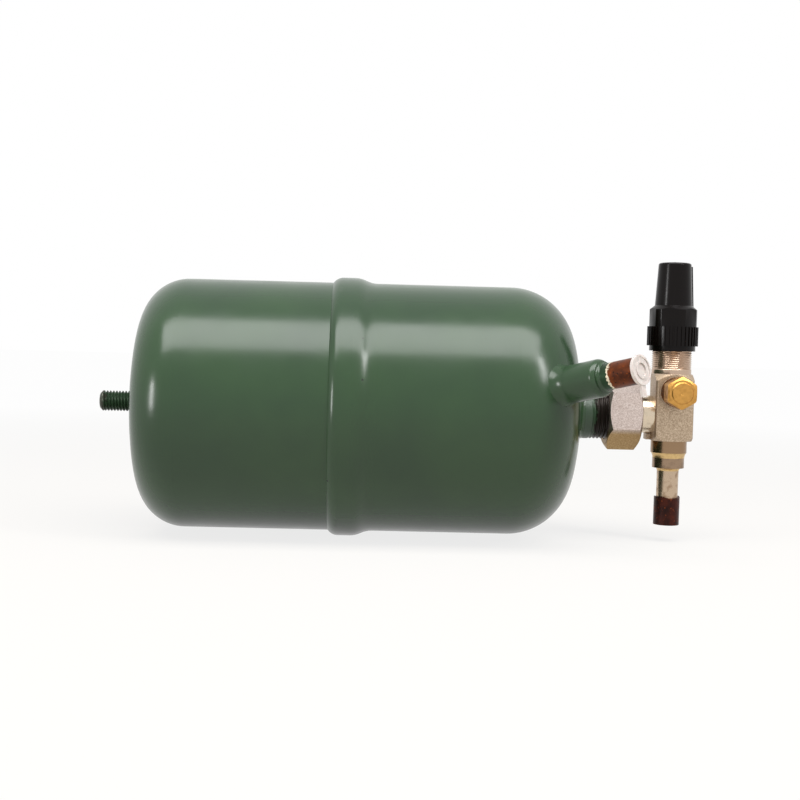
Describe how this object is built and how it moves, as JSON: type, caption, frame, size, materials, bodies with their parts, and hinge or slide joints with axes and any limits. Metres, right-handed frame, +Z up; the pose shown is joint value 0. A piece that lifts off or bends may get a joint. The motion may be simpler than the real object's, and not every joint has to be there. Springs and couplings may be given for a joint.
{
  "type": "refrigerant liquid receiver",
  "caption": "Green steel refrigerant receiver lying on its side, with a mounting stud at one end and a capped shut-off valve and plugged inlet stub at the other.",
  "frame": {"origin": "where the axis of the mounting stud meets the crown that carries it", "axes": "+X along the tank's axis from the stud to the valve, +Z up along the valve's spindle, and -Y to the side of the gauge port and the inlet"},
  "size_m": [0.2925, 0.1468, 0.1382],
  "materials": {
    "green_paint": "semi-gloss",
    "spud_steel": "black oxide",
    "zinc_plate": "zinc plated",
    "forged_plate": "plated, grained as forged",
    "turned_plate": "turned, plated",
    "tube_steel": "drawn",
    "spindle_steel": "turned",
    "braze": "as flowed",
    "copper": "tarnished copper",
    "brass": "turned",
    "black_plastic": "glossy",
    "white_plastic": "translucent",
    "seal_plastic": "smooth",
    "seal_rubber": "smooth"
  },
  "bodies": {
    "tank": {"stud_end_shell": "green_paint", "valve_end_shell": "green_paint", "seam_weld": "green_paint", "mounting_stud": "green_paint", "outlet_spud": "spud_steel", "dip_tube": "tube_steel", "spud_weld": "green_paint", "inlet_boss": "green_paint", "inlet_stub": "copper", "inlet_braze": "green_paint", "boss_weld": "green_paint", "union_gasket": "seal_plastic", "union_tailpiece": "turned_plate", "valve_body": "forged_plate", "outlet_adaptor": "turned_plate", "adaptor_braze": "braze", "outlet_tube": "turned_plate", "tube_braze": "braze", "outlet_cup": "copper", "packing_washer": "turned_plate", "stem_packing": "seal_plastic", "gland_nut": "turned_plate", "gauge_nipple": "turned_plate"},
    "slip_ring": {"slip_ring": "zinc_plate"},
    "union_nut": {"union_nut": "zinc_plate"},
    "valve_disc": {"valve_disc": "brass"},
    "spindle": {"spindle": "spindle_steel"},
    "cap_seal": {"cap_seal": "seal_rubber"},
    "stem_cap": {"stem_cap": "black_plastic"},
    "gauge_seal": {"gauge_seal": "seal_rubber"},
    "gauge_cap": {"gauge_cap": "brass"},
    "inlet_plug": {"inlet_plug": "white_plastic"}
  },
  "joints": [
    {"name": "union_nut_travel", "type": "slide", "parent": "tank", "child": "slip_ring", "axis": [1, 0, 0], "range_m": [0, 0.00365]},
    {"name": "union_nut_turn", "type": "hinge", "parent": "slip_ring", "child": "union_nut", "pos_m": [0, 0, 0], "axis": [1, 0, 0], "range_deg": [0, 720]},
    {"name": "spindle_travel", "type": "slide", "parent": "tank", "child": "valve_disc", "axis": [0, 0, 1], "range_m": [0, 0.00602]},
    {"name": "spindle_turn", "type": "hinge", "parent": "valve_disc", "child": "spindle", "pos_m": [0.2631, 0, 0], "axis": [0, 0, 1], "range_deg": [0, 1440]},
    {"name": "stem_cap_travel", "type": "slide", "parent": "tank", "child": "cap_seal", "axis": [0, 0, 1], "range_m": [0, 0.01202]},
    {"name": "stem_cap_turn", "type": "hinge", "parent": "cap_seal", "child": "stem_cap", "pos_m": [0.2631, 0, 0], "axis": [0, 0, 1], "range_deg": [0, 2880]},
    {"name": "gauge_cap_travel", "type": "slide", "parent": "tank", "child": "gauge_seal", "axis": [0, -1, 0], "range_m": [0, 0.00764]},
    {"name": "gauge_cap_turn", "type": "hinge", "parent": "gauge_seal", "child": "gauge_cap", "pos_m": [0.2631, -0.0112, 0.0115], "axis": [0, -1, 0], "range_deg": [0, 2160]},
    {"name": "inlet_plug_pull", "type": "slide", "parent": "tank", "child": "inlet_plug", "axis": [0.682, -0.7016, 0.2065], "range_m": [0, 0.012]}
  ],
  "couplings": [
    {"joint": "union_nut_travel", "follows": "union_nut_turn", "m_per_rad": 0.00028875},
    {"joint": "spindle_travel", "follows": "spindle_turn", "m_per_rad": 0.00023873},
    {"joint": "stem_cap_travel", "follows": "stem_cap_turn", "m_per_rad": 0.00023873},
    {"joint": "gauge_cap_travel", "follows": "gauge_cap_turn", "m_per_rad": 0.00020213}
  ]
}
